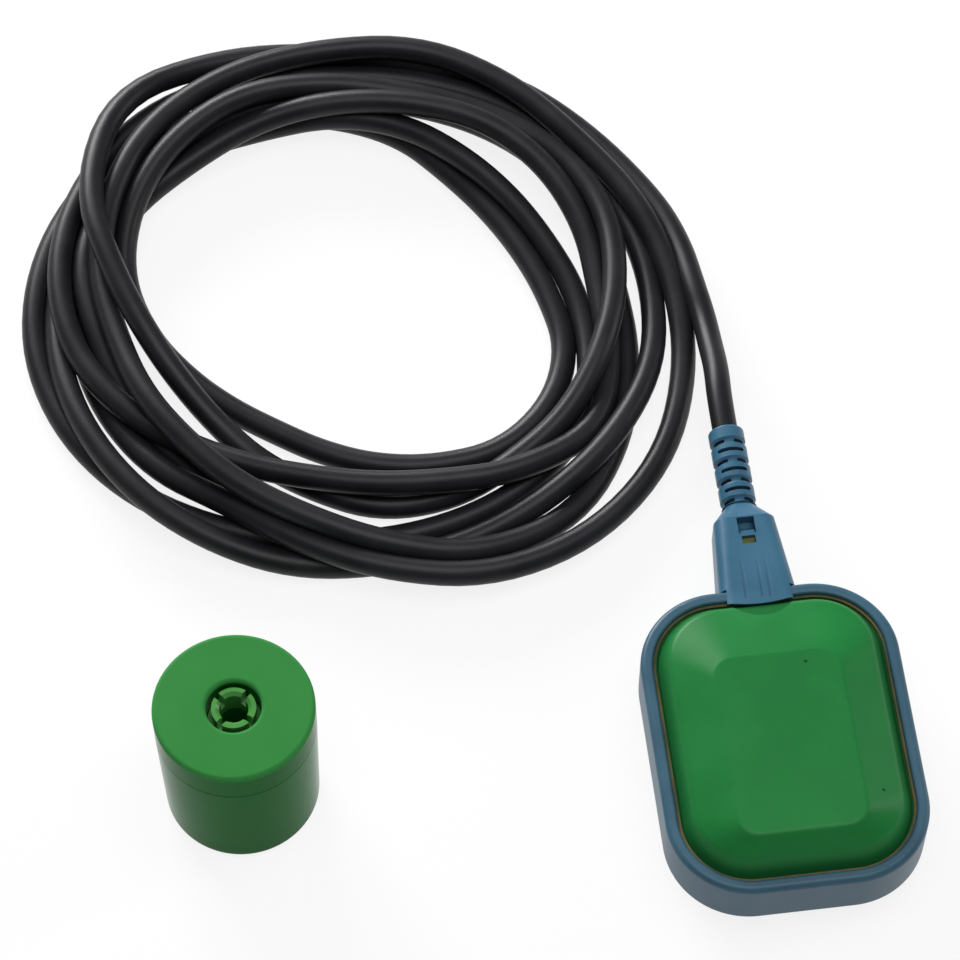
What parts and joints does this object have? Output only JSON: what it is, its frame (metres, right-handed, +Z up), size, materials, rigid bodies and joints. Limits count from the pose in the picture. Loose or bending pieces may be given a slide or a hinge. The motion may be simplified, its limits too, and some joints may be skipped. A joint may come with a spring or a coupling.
{
  "type": "float level switch",
  "caption": "Tethered float switch for tanks: sealed pillow-shaped float, ribbed strain relief, coiled rubber cable and a cylindrical counterweight that slides on it.",
  "frame": {"origin": "centre of the flat face that the float lies on, at floor level", "axes": "+Z up through the float's two flat faces, +Y along the float towards its neck and cable, +X across the float"},
  "size_m": [0.272, 0.3565, 0.057],
  "materials": {
    "float_green": "glossy with a soft sheen",
    "rim_blue": "satin",
    "sealant": "satin bead",
    "neck_blue": "satin with a fine moulded grain",
    "resin": "clear yellow casting",
    "plug_rubber": "matte",
    "cable_rubber": "matte with a faint sheen",
    "core_black": "satin",
    "core_grey": "satin",
    "core_brown": "satin",
    "capsule_white": "satin",
    "ball_steel": "polished",
    "pin_steel": "drawn",
    "lever_red": "satin",
    "switch_black": "matte",
    "terminal_brass": "stamped",
    "weight_green": "matte top, glossy side",
    "ballast_iron": "as cast",
    "collet_green": "satin"
  },
  "bodies": {
    "switch": {"float_shell_upper": "float_green", "float_shell_lower": "float_green", "rim_ring": "rim_blue", "sealant_bead_upper": "sealant", "sealant_bead_lower": "sealant", "neck_boot": "neck_blue", "cable_clamp": "neck_blue", "potting": "resin", "core_plug": "plug_rubber", "cable_entry": "cable_rubber", "core_common": "core_black", "core_open": "core_grey", "core_closed": "core_brown", "cable_lead": "cable_rubber", "cable_coil": "cable_rubber", "capsule_base": "capsule_white", "capsule_cover": "capsule_white", "lever_pin": "pin_steel", "microswitch_case": "switch_black", "microswitch_cover": "switch_black", "terminal_common": "terminal_brass", "terminal_open": "terminal_brass", "terminal_closed": "terminal_brass", "counterweight_body": "weight_green", "counterweight_ballast": "ballast_iron", "counterweight_cap": "weight_green", "counterweight_collet": "collet_green"},
    "ball": {"steel_ball": "ball_steel"},
    "lever": {"switch_lever": "lever_red"},
    "plunger": {"switch_plunger": "lever_red"}
  },
  "joints": [
    {"name": "ball_roll", "type": "slide", "parent": "switch", "child": "ball", "axis": [0, 1, 0], "range_m": [0, 0.019]},
    {"name": "lever_swing", "type": "hinge", "parent": "switch", "child": "lever", "pos_m": [0, 0.005, 0.03], "axis": [1, 0, 0], "range_deg": [0, 13]},
    {"name": "plunger_stroke", "type": "slide", "parent": "switch", "child": "plunger", "axis": [0, 1, 0], "range_m": [0, 0.0012]}
  ],
  "couplings": [
    {"joint": "lever_swing", "follows": "ball_roll", "rad_per_m": 11.94},
    {"joint": "plunger_stroke", "follows": "ball_roll", "ratio": 0.0631}
  ]
}
